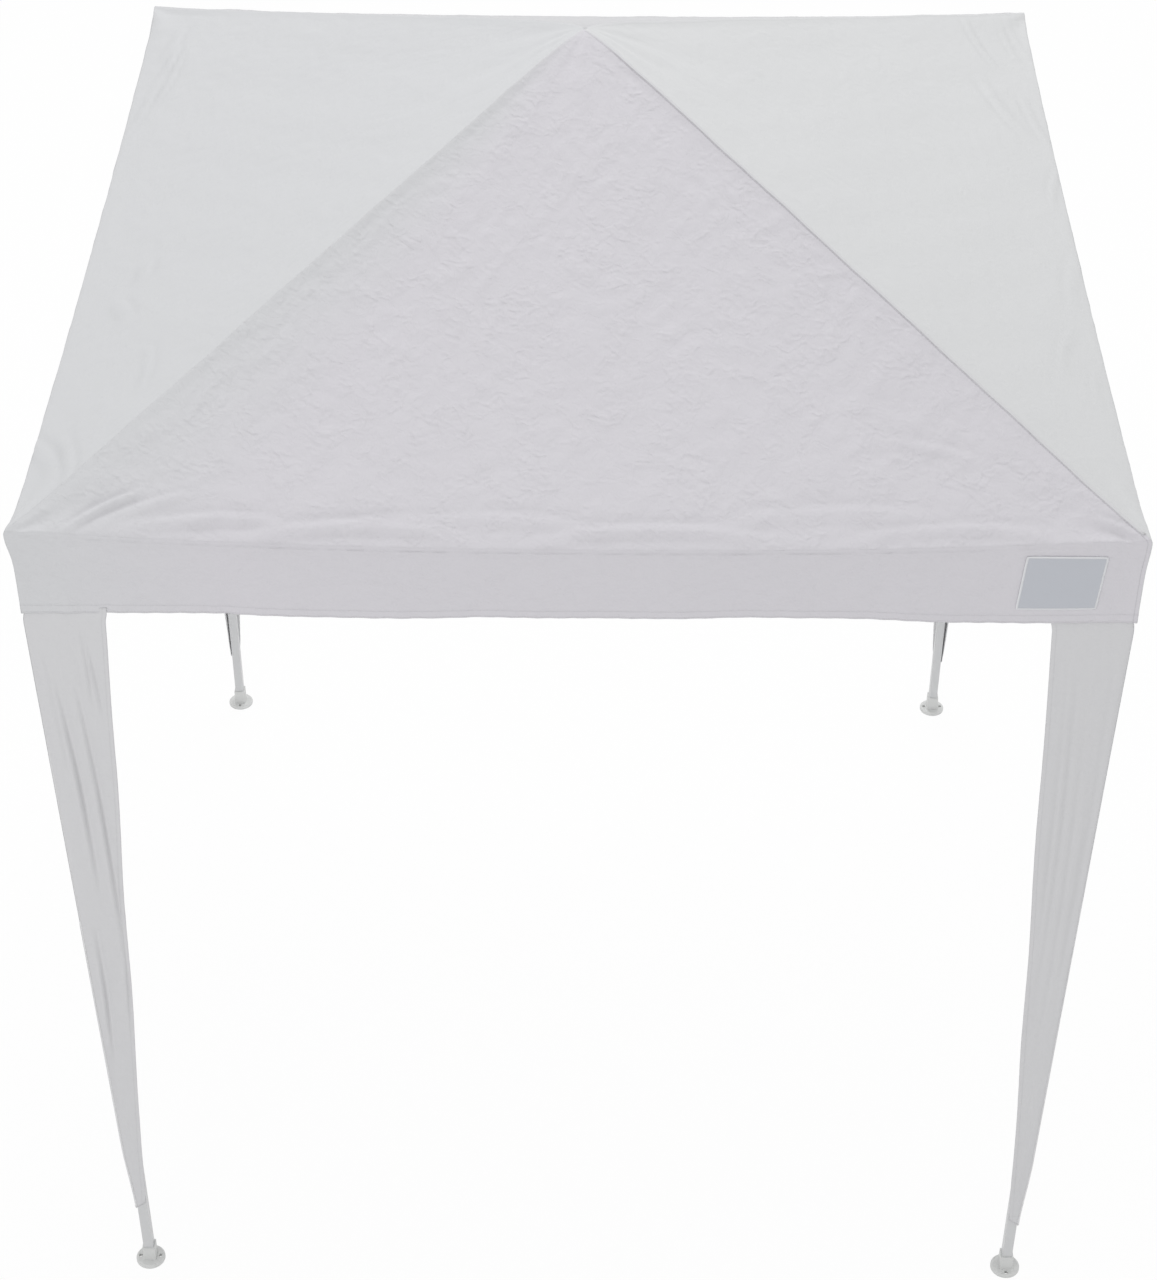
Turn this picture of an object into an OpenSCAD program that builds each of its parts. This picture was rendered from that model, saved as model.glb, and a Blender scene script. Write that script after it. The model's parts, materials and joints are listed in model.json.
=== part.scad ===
// Pop up canopy: a square cloth roof on a scissor frame that folds towards its middle,
// with four telescoping legs. The frame is drawn open, standing on its feet.

/* [Overall] */
// Distance between the axes of two neighbouring legs
leg_spacing = 1906; // [1500:1:3000]
// Distance from the legs' axes out to the cloth roof's eaves
cover_overhang = 47; // [36:1:90]
// Height of the eaves above the ground
eave_h = 2070; // [1700:1:2500]
// Height of the roof's point above the eaves
peak_rise = 464; // [300:1:700]

/* [Cloth] */
// Height of the valance that hangs from the eaves
valance_h = 185; // [120:1:260]
// Width of each face of a leg skirt at its top
skirt_top_w = 150; // [90:1:220]
// Width of each face of a leg skirt at its bottom
skirt_bottom_w = 28; // [20:1:60]
// Distance from a leg's axis out to its skirt's corner at the lower end
skirt_low_out = 26; // [20:1:60]
// Height of the skirts' lower ends above the ground
skirt_end_h = 170; // [80:1:400]
// Thickness of the cloth with its seams
cloth_t = 3; // [2:0.5:5]
// Gap between two cloth panels along a hip
seam_gap = 3; // [1:0.5:8]

/* [Legs] */
// Outside width of the square inner leg
inner_leg_w = 21; // [16:0.5:30]
// Wall thickness of both leg tubes
leg_wall = 1.4; // [1:0.1:2.5]
// Clearance between the inner and the outer leg on each side
slide_gap = 0.4; // [0.3:0.05:1]
// Length of the outer leg
outer_leg_len = 1218; // [1000:1:1500]
// Length of inner leg that stays inside the outer leg when the canopy is at its full height
leg_overlap = 160; // [120:1:240]
// Diameter of a foot
foot_d = 64; // [50:1:90]
// Thickness of a foot's disc
foot_t = 8; // [5:0.5:14]
// Radius of the two peg holes in each foot
peg_hole_r = 4; // [3:0.25:6]
// Distance between the two peg holes in a foot
peg_spacing = 44; // [38:1:60]
// Radius of a leg's snap button
button_r = 4; // [3:0.25:5]

/* [Truss] */
// Height between the upper and lower pivots of the open truss
truss_drop = 122; // [100:1:260]
// Height of the upper pivots below the eaves
pivot_below_eave = 50; // [40:1:80]
// Distance from a leg's axis to the bar pivots beside it
pivot_reach = 48; // [40:1:70]
// Height of a truss bar
bar_h = 20; // [14:1:26]
// Thickness of a truss bar
bar_t = 10; // [8:0.5:14]
// Wall thickness of a truss bar
bar_wall = 1; // [0.8:0.1:2]
// Clearance between two bars that cross
plane_gap = 1; // [0.6:0.1:2]
// Radius of the pivot rivets
rivet_r = 3; // [2:0.25:4]
// Radial clearance of a bar on its rivet
rivet_gap = 0.06; // [0.03:0.01:0.1]

/* [Hub and pole] */
// Diameter of the peak pole
pole_d = 19; // [16:0.5:28]
// Radius of the cap under the roof's point
cap_r = 45; // [35:1:70]
// Thickness of the plastic fittings' walls
fitting_wall = 3; // [2:0.25:5]

/* [Hidden] */
seat = 0.3;
tight = 0.1;
a = leg_spacing / 2;
half = a + cover_overhang;
outer_leg_w = inner_leg_w + 2 * slide_gap + 2 * leg_wall;
z_top = eave_h - pivot_below_eave;
z_low = z_top - truss_drop;
z_mid = (z_top + z_low) / 2;
unit_w = a - pivot_reach;
bar_len = sqrt(unit_w * unit_w + truss_drop * truss_drop);
tilt = asin(truss_drop / bar_len);
plane = (bar_t + plane_gap) / 2;
eye_r = bar_h / 2;
hole_r = rivet_r + rivet_gap;
head_r = rivet_r + 2.5;
head_t = 2;
flat_end = 2 * bar_h;
leg_top = eave_h + 6;
leg_bottom = leg_top - outer_leg_len;
inner_leg_len = leg_bottom + leg_overlap - foot_t;
foot_socket_h = 40;
button_z = leg_bottom + 45;
button_len = 8;
slope = atan(peak_rise / half);
slope_len = sqrt(half * half + peak_rise * peak_rise);
peak_z = eave_h + peak_rise;
cloth_drop = cloth_t / cos(slope);
cap_top_z = peak_z - cloth_drop - seat / cos(slope);
hem_z = eave_h - valance_h;
hub_plate_z = z_top + eye_r + fitting_wall;
hub_plate_t = 5;
hub_collar_h = 30;
cheek_x = plane + bar_t / 2 + seat + 0.5;
block_y = plane + bar_t / 2 + 0.5;
block_t = 6;
bracket_h = leg_top - z_top + 22;
slider_h = 46;
fn_fine = 48;

// A pivot rivet along Y: its shank starts inside the piece on one side and ends in a head past the other
module rivet_y(side, reach) {
    from = side * plane;
    to = -side * (reach + seat);
    lo = min(from, to);
    translate([0, lo, 0]) rotate([-90, 0, 0]) cylinder(r = rivet_r, h = abs(to - from), $fn = fn_fine);
    translate([0, side > 0 ? to - head_t : to, 0])
        rotate([-90, 0, 0]) cylinder(r = head_r, h = head_t, $fn = fn_fine);
}

// A bar in the XZ plane, from a pivot at the origin along +X, centred on Y = 0, hollow between its flat ends
module bar_body(centre_hole, start_hole, end_hole) {
    inner_h = bar_h - 2 * bar_wall;
    inner_t = bar_t - 2 * bar_wall;
    difference() {
        rotate([90, 0, 0]) linear_extrude(height = bar_t, center = true) difference() {
            union() {
                translate([0, -bar_h / 2]) square([bar_len, bar_h]);
                circle(r = eye_r, $fn = fn_fine);
                translate([bar_len, 0]) circle(r = eye_r, $fn = fn_fine);
            }
            if (start_hole) circle(r = hole_r, $fn = fn_fine);
            if (end_hole) translate([bar_len, 0]) circle(r = hole_r, $fn = fn_fine);
            if (centre_hole) translate([bar_len / 2, 0]) circle(r = hole_r, $fn = fn_fine);
        }
        for (x0 = [flat_end, bar_len / 2 + flat_end / 2])
            translate([x0, -inner_t / 2, -inner_h / 2])
                cube([bar_len / 2 - 1.5 * flat_end, inner_t, inner_h]);
    }
}

// Side frame: the front side of the canopy seen from outside, with its start leg at -X and its end leg at +X.
// face is -1 for the outer of the two bar planes and +1 for the inner one.
module in_plane(face) { translate([0, -a + face * plane, 0]) children(); }

// High bar: from the bracket at the top of a leg down to the low pivot in the middle of the side
module high_bar(end, mid_rivet) {
    face = end ? 1 : -1;
    mirror([end ? 1 : 0, 0, 0]) {
        in_plane(face) translate([-unit_w, 0, z_top]) rotate([0, tilt, 0]) {
            bar_body(false, true, !mid_rivet);
        }
        translate([-unit_w / 2, -a, z_mid]) rivet_y(face, plane + bar_t / 2);
        if (mid_rivet) translate([0, -a, z_low]) rivet_y(face, plane + bar_t / 2);
    }
}

// Low bar: from the slider on a leg up to the high pivot in the middle of the side
module low_bar(end, mid_rivet) {
    face = end ? -1 : 1;
    mirror([end ? 1 : 0, 0, 0]) {
        in_plane(face) translate([-unit_w, 0, z_low]) rotate([0, -tilt, 0]) bar_body(true, true, !mid_rivet);
        if (mid_rivet) translate([0, -a, z_top]) rivet_y(face, plane + bar_t / 2);
    }
}

// Cross bars run from the middle of the canopy to the middle of a side, in planes either side of X = 0.
// The front low bar carries the rivet of the low centre pivot.
module cross_bar(high, centre_rivet) {
    side = high ? -1 : 1;
    z0 = high ? z_top : z_low;
    turn = high ? tilt : -tilt;
    translate([side * plane, 0, z0]) rotate([0, 0, -90]) rotate([0, turn, 0])
        bar_body(!high, !centre_rivet, true);
    if (centre_rivet) translate([0, 0, z_low]) rotate([0, 0, -90]) rivet_y(side, plane + bar_t / 2);
    if (high) translate([0, -unit_w / 2, z_mid]) rotate([0, 0, -90]) rivet_y(side, plane + bar_t / 2);
}

// The lug that carries a bar beside a leg, in the side frame, in the plane that the bar leaves free
module lug(end, z, face) {
    mirror([end ? 1 : 0, 0, 0]) {
        in_plane(face) rotate([90, 0, 0]) linear_extrude(height = bar_t, center = true) {
            translate([-a + outer_leg_w / 2 + fitting_wall / 2, z - eye_r])
                square([pivot_reach - outer_leg_w / 2 - fitting_wall / 2, 2 * eye_r]);
            translate([-unit_w, z]) circle(r = eye_r, $fn = fn_fine);
        }
        translate([-unit_w, -a, z]) rivet_y(face, plane + bar_t / 2);
    }
}

// A square sleeve around a leg, with a clearance inside
module sleeve(width, gap, z0, h) {
    outside = width + 2 * gap + 2 * fitting_wall;
    inside = width + 2 * gap;
    translate([-a, -a, z0]) difference() {
        translate([-outside / 2, -outside / 2, 0]) cube([outside, outside, h]);
        translate([-inside / 2, -inside / 2, -1]) cube([inside, inside, h + 2]);
    }
}

module leg_tube(width, z0, h) {
    inside = width - 2 * leg_wall;
    translate([-a, -a, z0]) difference() {
        translate([-width / 2, -width / 2, 0]) cube([width, width, h]);
        translate([-inside / 2, -inside / 2, -1]) cube([inside, inside, h + 2]);
    }
}

// Outer leg: a square tube with a moulded collar at its lower end, and a window for the snap button
module outer_leg() {
    color("#c8cacc") difference() {
        union() {
            leg_tube(outer_leg_w, leg_bottom, outer_leg_len);
            sleeve(outer_leg_w, 0, leg_bottom, 60);
        }
        translate([-a, -a, button_z]) rotate([0, 90, 0])
            cylinder(r = button_r + seat + 0.2, h = outer_leg_w, $fn = fn_fine);
    }
}

// Inner leg: slides inside the outer leg and stands in the foot
module inner_leg() {
    color("#d2d4d6") difference() {
        leg_tube(inner_leg_w, foot_t, inner_leg_len);
        translate([-a, -a, button_z]) rotate([0, 90, 0])
            cylinder(r = button_r + seat, h = outer_leg_w, $fn = fn_fine);
    }
}

// Snap button: a round pin with a domed tip, in the inner leg's wall
module leg_button() {
    tip = inner_leg_w / 2 + tight;
    color("#b9bbbd") translate([-a + tip - button_len, -a, button_z]) rotate([0, 90, 0]) {
        cylinder(r = button_r, h = button_len - 1, $fn = fn_fine);
        translate([0, 0, button_len - 1]) cylinder(r1 = button_r, r2 = button_r - 1, h = 1, $fn = fn_fine);
    }
}

// Foot: a round pad with a rounded rim, a square socket and two peg holes
module foot() {
    rim = foot_t / 2;
    color("#c9cac9") {
        translate([-a, -a, 0]) difference() {
            union() {
                cylinder(d = foot_d, h = rim, $fn = 96);
                translate([0, 0, rim]) cylinder(d1 = foot_d, d2 = foot_d - foot_t, h = rim, $fn = 96);
            }
            for (s = [-1, 1]) translate([s * peg_spacing / 2, 0, -1])
                cylinder(r = peg_hole_r, h = foot_t + 2, $fn = fn_fine);
        }
        sleeve(inner_leg_w, tight, foot_t - 0.5, foot_socket_h);
    }
}

// Top bracket: a cap on the leg with one lug for each side's high bar
module top_bracket() {
    cap_w = outer_leg_w + 2 * tight + 2 * fitting_wall;
    color("#d9dadb") {
        sleeve(outer_leg_w, tight, leg_top - bracket_h, bracket_h);
        translate([-a - cap_w / 2, -a - cap_w / 2, leg_top]) cube([cap_w, cap_w, 4]);
        lug(false, z_top, 1);
        rotate([0, 0, -90]) lug(true, z_top, -1);
    }
}

// Slider: a sleeve that runs on the outer leg, with one lug for each side's low bar
module slider() {
    color("#d9dadb") {
        sleeve(outer_leg_w, slide_gap, z_low - slider_h / 2, slider_h);
        lug(false, z_low, -1);
        rotate([0, 0, -90]) lug(true, z_low, 1);
    }
}

// Middle joint of the front side: carries both side bars on one rivet and a cross bar on another
module mid_joint(high) {
    side = high ? -1 : 1;
    z = high ? z_top : z_low;
    color("#d9dadb") {
        translate([-bar_h / 2 - 2, -a + block_y, z - bar_h / 2 - 2]) cube([bar_h + 4, block_t, bar_h + 4]);
        translate([0, -a, z]) {
            shank = block_y + 1 + plane + bar_t / 2 + seat;
            translate([0, block_y + 1, 0]) rotate([90, 0, 0])
                cylinder(r = rivet_r, h = shank, $fn = fn_fine);
            translate([0, -plane - bar_t / 2 - seat, 0]) rotate([90, 0, 0])
                cylinder(r = head_r, h = head_t, $fn = fn_fine);
        }
        translate([side * plane, -unit_w, z]) rotate([0, 90, 0])
            linear_extrude(height = bar_t, center = true) {
                circle(r = eye_r, $fn = fn_fine);
                translate([-eye_r, -pivot_reach + block_y + 1])
                    square([2 * eye_r, pivot_reach - block_y - 1]);
            }
        translate([0, -unit_w, z]) rotate([0, 0, -90]) rivet_y(side, plane + bar_t / 2);
    }
}

// Upper hub: two cheeks around the high ends of both cross bars, and a collar for the peak pole
module upper_hub() {
    pole_r = pole_d / 2;
    color("#d9dadb") {
        for (s = [-1, 1])
            translate([s > 0 ? cheek_x : -cheek_x - fitting_wall, -14, z_top - 12])
                cube([fitting_wall, 28, hub_plate_z - z_top + 13]);
        translate([-cheek_x - fitting_wall, -14, hub_plate_z])
            cube([2 * cheek_x + 2 * fitting_wall, 28, hub_plate_t]);
        translate([-cheek_x - 1, 0, z_top]) rotate([0, 90, 0])
            cylinder(r = rivet_r, h = 2 * cheek_x + 2, $fn = fn_fine);
        translate([0, 0, hub_plate_z + hub_plate_t - 0.5]) difference() {
            cylinder(r = pole_r + tight + fitting_wall, h = hub_collar_h, $fn = fn_fine);
            translate([0, 0, 0.5]) cylinder(r = pole_r + tight, h = hub_collar_h, $fn = fn_fine);
        }
    }
}

// Peak pole: stands in the upper hub and carries the peak cap
module peak_pole() {
    z0 = hub_plate_z + hub_plate_t;
    pole_r = pole_d / 2;
    top = cap_top_z - 12;
    color("#c8cacc") translate([0, 0, z0]) difference() {
        cylinder(r = pole_r, h = top - z0, $fn = fn_fine);
        translate([0, 0, -1]) cylinder(r = pole_r - leg_wall, h = top - z0 + 2, $fn = fn_fine);
    }
}

// Peak cap: a cone that follows the cloth's slope, with a socket over the pole
module peak_cap() {
    pole_r = pole_d / 2;
    rim_z = cap_top_z - cap_r * tan(slope);
    blunt = 6;
    color("#d9dadb") difference() {
        union() {
            translate([0, 0, rim_z])
                cylinder(r1 = cap_r, r2 = blunt, h = (cap_r - blunt) * tan(slope), $fn = 96);
            translate([0, 0, rim_z - 22])
                cylinder(r = pole_r + tight + fitting_wall, h = 23, $fn = fn_fine);
        }
        translate([0, 0, rim_z - 30])
            cylinder(r = pole_r + tight, h = cap_top_z + 18 - rim_z + tight, $fn = fn_fine);
    }
}

// Cover panel of the front side: a triangle of cloth from the peak to the eave, and its valance
module cover_panel() {
    color("#e6e6e9") {
        translate([0, 0, peak_z]) rotate([slope, 0, 0]) rotate([0, 0, 180]) translate([0, 0, -cloth_t])
            linear_extrude(height = cloth_t)
                polygon([[0, 2 * seam_gap], [-half + seam_gap, slope_len], [half - seam_gap, slope_len]]);
        translate([-half + seam_gap + cloth_t, -half, hem_z])
            cube([2 * (half - seam_gap - cloth_t), cloth_t, valance_h - cloth_t / 3]);
    }
}

// One flat face of a leg skirt, narrowing towards the foot
module skirt_face() {
    low_at = a + skirt_low_out;
    hull() {
        translate([-half, -half, hem_z - seat - 10]) cube([skirt_top_w, cloth_t, 10]);
        translate([-low_at, -low_at, skirt_end_h]) cube([skirt_bottom_w, cloth_t, 10]);
    }
}

// Leg skirt: two faces that meet along the canopy's corner
module leg_skirt() {
    color("#e2e2e4") {
        skirt_face();
        mirror([1, -1, 0]) skirt_face();
    }
}

module at_leg(i) { rotate([0, 0, 90 * i]) children(); }

module front_cross_high_bar() { color("#c8cacc") at_leg(0) cross_bar(true, false); }
module front_cross_low_bar() { color("#c8cacc") cross_bar(false, true); }
module front_mid_joint_high() { at_leg(0) mid_joint(true); }
module front_mid_joint_low() { at_leg(0) mid_joint(false); }
module back_cross_high_bar() { color("#c8cacc") at_leg(2) cross_bar(true, false); }
module back_cross_low_bar() { color("#c8cacc") at_leg(2) cross_bar(false, false); }
module back_mid_joint_high() { at_leg(2) mid_joint(true); }
module back_mid_joint_low() { at_leg(2) mid_joint(false); }
module front_left_high_bar() { color("#c8cacc") at_leg(0) high_bar(false, false); }
module front_left_low_bar() { color("#c8cacc") at_leg(0) low_bar(false, false); }
module front_right_high_bar() { color("#c8cacc") at_leg(0) high_bar(true, false); }
module front_right_low_bar() { color("#c8cacc") at_leg(0) low_bar(true, false); }
module right_front_high_bar() { color("#c8cacc") at_leg(1) high_bar(false, true); }
module right_front_low_bar() { color("#c8cacc") at_leg(1) low_bar(false, true); }
module right_back_high_bar() { color("#c8cacc") at_leg(1) high_bar(true, false); }
module right_back_low_bar() { color("#c8cacc") at_leg(1) low_bar(true, false); }
module back_right_high_bar() { color("#c8cacc") at_leg(2) high_bar(false, false); }
module back_right_low_bar() { color("#c8cacc") at_leg(2) low_bar(false, false); }
module back_left_high_bar() { color("#c8cacc") at_leg(2) high_bar(true, false); }
module back_left_low_bar() { color("#c8cacc") at_leg(2) low_bar(true, false); }
module left_back_high_bar() { color("#c8cacc") at_leg(3) high_bar(false, true); }
module left_back_low_bar() { color("#c8cacc") at_leg(3) low_bar(false, true); }
module left_front_high_bar() { color("#c8cacc") at_leg(3) high_bar(true, false); }
module left_front_low_bar() { color("#c8cacc") at_leg(3) low_bar(true, false); }
module front_left_outer_leg() { at_leg(0) outer_leg(); }
module front_left_top_bracket() { at_leg(0) top_bracket(); }
module front_left_slider() { at_leg(0) slider(); }
module front_left_inner_leg() { at_leg(0) inner_leg(); }
module front_left_foot() { at_leg(0) foot(); }
module front_left_leg_button() { at_leg(0) leg_button(); }
module front_left_leg_skirt() { at_leg(0) leg_skirt(); }
module front_right_outer_leg() { at_leg(1) outer_leg(); }
module front_right_top_bracket() { at_leg(1) top_bracket(); }
module front_right_slider() { at_leg(1) slider(); }
module front_right_inner_leg() { at_leg(1) inner_leg(); }
module front_right_foot() { at_leg(1) foot(); }
module front_right_leg_button() { at_leg(1) leg_button(); }
module front_right_leg_skirt() { at_leg(1) leg_skirt(); }
module back_right_outer_leg() { at_leg(2) outer_leg(); }
module back_right_top_bracket() { at_leg(2) top_bracket(); }
module back_right_slider() { at_leg(2) slider(); }
module back_right_inner_leg() { at_leg(2) inner_leg(); }
module back_right_foot() { at_leg(2) foot(); }
module back_right_leg_button() { at_leg(2) leg_button(); }
module back_right_leg_skirt() { at_leg(2) leg_skirt(); }
module back_left_outer_leg() { at_leg(3) outer_leg(); }
module back_left_top_bracket() { at_leg(3) top_bracket(); }
module back_left_slider() { at_leg(3) slider(); }
module back_left_inner_leg() { at_leg(3) inner_leg(); }
module back_left_foot() { at_leg(3) foot(); }
module back_left_leg_button() { at_leg(3) leg_button(); }
module back_left_leg_skirt() { at_leg(3) leg_skirt(); }
module front_cover_panel() { at_leg(0) cover_panel(); }
module right_cover_panel() { at_leg(1) cover_panel(); }
module back_cover_panel() { at_leg(2) cover_panel(); }
module left_cover_panel() { at_leg(3) cover_panel(); }

upper_hub();
peak_pole();
peak_cap();
front_cross_high_bar();
front_cross_low_bar();
front_mid_joint_high();
front_mid_joint_low();
back_cross_high_bar();
back_cross_low_bar();
back_mid_joint_high();
back_mid_joint_low();
front_left_high_bar();
front_left_low_bar();
front_right_high_bar();
front_right_low_bar();
right_front_high_bar();
right_front_low_bar();
right_back_high_bar();
right_back_low_bar();
back_right_high_bar();
back_right_low_bar();
back_left_high_bar();
back_left_low_bar();
left_back_high_bar();
left_back_low_bar();
left_front_high_bar();
left_front_low_bar();
front_left_outer_leg();
front_left_top_bracket();
front_left_slider();
front_left_inner_leg();
front_left_foot();
front_left_leg_button();
front_left_leg_skirt();
front_right_outer_leg();
front_right_top_bracket();
front_right_slider();
front_right_inner_leg();
front_right_foot();
front_right_leg_button();
front_right_leg_skirt();
back_right_outer_leg();
back_right_top_bracket();
back_right_slider();
back_right_inner_leg();
back_right_foot();
back_right_leg_button();
back_right_leg_skirt();
back_left_outer_leg();
back_left_top_bracket();
back_left_slider();
back_left_inner_leg();
back_left_foot();
back_left_leg_button();
back_left_leg_skirt();
front_cover_panel();
right_cover_panel();
back_cover_panel();
left_cover_panel();
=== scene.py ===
"""A pop up canopy with a pale cloth roof, valance and leg skirts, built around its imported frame."""

import json
import math

import bmesh
import bpy
import numpy as np
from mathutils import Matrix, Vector


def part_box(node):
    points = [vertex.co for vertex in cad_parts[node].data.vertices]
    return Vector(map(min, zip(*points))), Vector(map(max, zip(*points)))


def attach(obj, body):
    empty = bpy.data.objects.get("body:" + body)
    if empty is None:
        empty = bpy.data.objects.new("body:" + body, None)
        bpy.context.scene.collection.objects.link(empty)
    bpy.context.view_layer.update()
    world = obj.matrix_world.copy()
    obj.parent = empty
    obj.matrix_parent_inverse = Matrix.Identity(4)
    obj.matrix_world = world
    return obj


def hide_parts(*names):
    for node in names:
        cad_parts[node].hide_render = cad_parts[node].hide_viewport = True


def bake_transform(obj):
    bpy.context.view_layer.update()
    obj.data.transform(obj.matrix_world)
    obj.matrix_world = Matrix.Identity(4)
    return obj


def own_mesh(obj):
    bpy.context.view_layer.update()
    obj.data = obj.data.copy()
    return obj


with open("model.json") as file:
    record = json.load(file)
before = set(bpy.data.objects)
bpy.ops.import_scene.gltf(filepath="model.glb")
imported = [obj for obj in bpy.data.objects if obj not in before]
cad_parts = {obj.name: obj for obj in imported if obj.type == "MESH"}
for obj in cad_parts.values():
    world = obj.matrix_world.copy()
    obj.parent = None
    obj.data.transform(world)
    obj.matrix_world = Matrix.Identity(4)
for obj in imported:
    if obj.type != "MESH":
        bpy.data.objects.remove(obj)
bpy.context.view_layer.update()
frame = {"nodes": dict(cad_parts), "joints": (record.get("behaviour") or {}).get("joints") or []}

SIDES = ("front", "right", "back", "left")
LEGS = ("front_left", "front_right", "back_right", "back_left")

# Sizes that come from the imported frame, in metres
panel_low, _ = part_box("front_cover_panel")
HALF = -panel_low[1]
HEM_Z = panel_low[2]
PEAK_Z = next(j for j in frame["joints"] if j["name"] == "front_cover_hinge")["pos_m"][2]
leg_low, leg_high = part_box("front_left_inner_leg")
LEG_AXIS = -(leg_low[0] + leg_high[0]) / 2
skirt_low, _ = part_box("front_left_leg_skirt")
SKIRT_END_Z = skirt_low[2]

# Shape of the roof: its valance, how far each eave sags, the slack in a panel, how round the peak and the
# eaves are, the cloth's thickness and the height of its hem
VALANCE_H = 0.185
EAVE_Z = HEM_Z + VALANCE_H
RISE = PEAK_Z - EAVE_Z
SLOPE = math.atan2(RISE, HALF)
EAVE_SAG = {"front": 0.031, "right": 0.022, "back": 0.013, "left": 0.022}
PANEL_SAG = 0.012
PEAK_ROUND = 0.035
EAVE_RADIUS = 0.009
CLOTH_T = 0.0012
HEM_BAND = 0.022

# Heights of the roof's relief: crepe, pulls at the corners and at the peak
CREPE_HEIGHT = 0.0014
CORNER_PULL = 0.0028
PEAK_PULL = 0.0012

# Heights of the valance's relief: slow wave, small creases, roll under the eave, hem band and its puckers
VALANCE_WAVE = 0.0075
SMALL_CREASE = 0.0009
EAVE_ROLL = 0.0024
HEM_STEP = 0.0003
HEM_PUCKER = 0.0006

# How far each corner of the eaves puffs out over its bracket: the corner's signs along x and y, and a size
CORNER_PUFFS = ((-1, -1, 0.0075), (1, -1, 0.0035), (1, 1, 0.0030), (-1, 1, 0.0040))
PUFF_REACH = 0.055

# Half width, arch height and edge height of a hip seam. Only the front panel's stands clear of the cloth.
PROUD_SEAM = (0.0042, 0.0006, 0.0005)
FLAT_SEAM = (0.0030, 0.0002, -0.0004)
SEAM_SUNK = -0.0004

# A skirt: width of a face at the top and bottom, distance from the leg's axis to its corner at the bottom,
# how far it reaches above the hem and sits inside the roof's corner, and how much its lower end narrows,
# draws in and rises towards its sides
SKIRT_TOP = 0.151
SKIRT_BOTTOM = 0.028
SKIRT_LOW_OUT = 0.019
SKIRT_OVERLAP = 0.012
SKIRT_INSET = 0.003
TIP_NARROWS = 0.0050
TIP_DRAWS_IN = 0.0052
TIP_RISE = 0.020

# Height of each skirt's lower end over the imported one's, in the order of LEGS
SKIRT_LIFT = (0.018, -0.010, -0.014, -0.014)

# The patch: half its width and height, its middle, its lean, and how far it stands off the valance
PATCH_HALF_W = 0.0725
PATCH_HALF_H = 0.0590
PATCH_AT = (0.855, EAVE_Z - 0.094)
PATCH_LEAN = 0.08
PATCH_LIFT = 0.0016

# A slider's pull pin: height over the slider's lower end, distance from the leg's axis to the slider's face,
# distance from there to the ring, how far the ring hangs, its radius and its wire's radius
PIN_RISE = 0.0067
PIN_FACE = 0.0157
RING_OUT = 0.0190
RING_HANG = 0.0095
RING_R = 0.0115
WIRE_R = 0.0010

# The camera: its place, its turn, tilt and roll in degrees, and its lens on a 36 mm sensor
CAMERA_AT = (0.0434, -4.8916, 5.027)
CAMERA_TURN = (-0.63, 39.36, -0.11)
LENS = 78.5
SENSOR = 36.0

# Strength of the light from all round, the floor's own tone, how much plain white the camera sees in place of
# the floor's shading, and half the floor's width
WORLD_LEVEL = 0.74
FLOOR_TONE = 0.95
FLOOR_WHITE = 0.95
FLOOR_HALF = 30.0

# Where chance values start for the roof's panels, their loose folds, the skirts and the skirts' creases
PANEL_SEED = 3
FOLD_SEED = 20
SKIRT_SEED = 11
CREASE_SEED = 40


# ---------------------------------------------------------------- meshes


def turned(points, quarter):
    """Points turned about the vertical axis by a number of quarter turns."""
    c, s = ((1, 0), (0, 1), (-1, 0), (0, -1))[quarter % 4]
    x, y, z = points[..., 0], points[..., 1], points[..., 2]
    return np.stack([c * x - s * y, s * x + c * y, z], axis=-1)


def grid_faces(rows, columns, closed=False):
    """Quads over a grid of rows by columns, joined round the columns if closed."""
    i = np.arange(rows - 1)[:, None]
    j = np.arange(columns if closed else columns - 1)[None, :]
    k = (j + 1) % columns
    quads = [i * columns + j, i * columns + k, (i + 1) * columns + k, (i + 1) * columns + j]
    return np.stack([np.broadcast_to(q, (rows - 1, j.shape[1])) for q in quads], axis=-1).reshape(-1, 4)


def mesh_piece(name, points, faces, uv=None, smooth=True, values=None):
    """An object at the origin from points and quads, with an optional UV and named values at each point."""
    mesh = bpy.data.meshes.new(name)
    mesh.vertices.add(len(points))
    mesh.vertices.foreach_set("co", np.asarray(points, np.float32).ravel())
    mesh.loops.add(faces.size)
    mesh.loops.foreach_set("vertex_index", faces.astype(np.int32).ravel())
    mesh.polygons.add(len(faces))
    mesh.polygons.foreach_set("loop_start", np.arange(0, faces.size, 4, dtype=np.int32))
    mesh.polygons.foreach_set("use_smooth", np.full(len(faces), smooth))
    if uv is not None:
        layer = mesh.uv_layers.new(name="UVMap")
        layer.data.foreach_set("uv", np.asarray(uv, np.float32)[faces.ravel()].ravel())
    for key, value in (values or {}).items():
        attribute = mesh.attributes.new(key, "FLOAT", "POINT")
        attribute.data.foreach_set("value", np.asarray(value, np.float32).ravel())
    mesh.update(calc_edges=True)
    mesh.validate()
    piece = bpy.data.objects.new(name, mesh)
    bpy.context.scene.collection.objects.link(piece)
    return piece


def join_apex(piece):
    """Merges the points that lie in one place, such as a grid's row at a peak."""
    work = bmesh.new()
    work.from_mesh(piece.data)
    bmesh.ops.remove_doubles(work, verts=work.verts[:], dist=1e-6)
    work.to_mesh(piece.data)
    work.free()


def thicken(piece, thickness, offset=-1.0, backing=False):
    """Gives a cloth surface its thickness, inwards from the face that shows. With a backing, the inner
    face takes the piece's second material."""
    solid = piece.modifiers.new("thickness", "SOLIDIFY")
    solid.thickness = thickness
    solid.offset = offset
    solid.material_offset = 1 if backing else 0
    return piece


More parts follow.
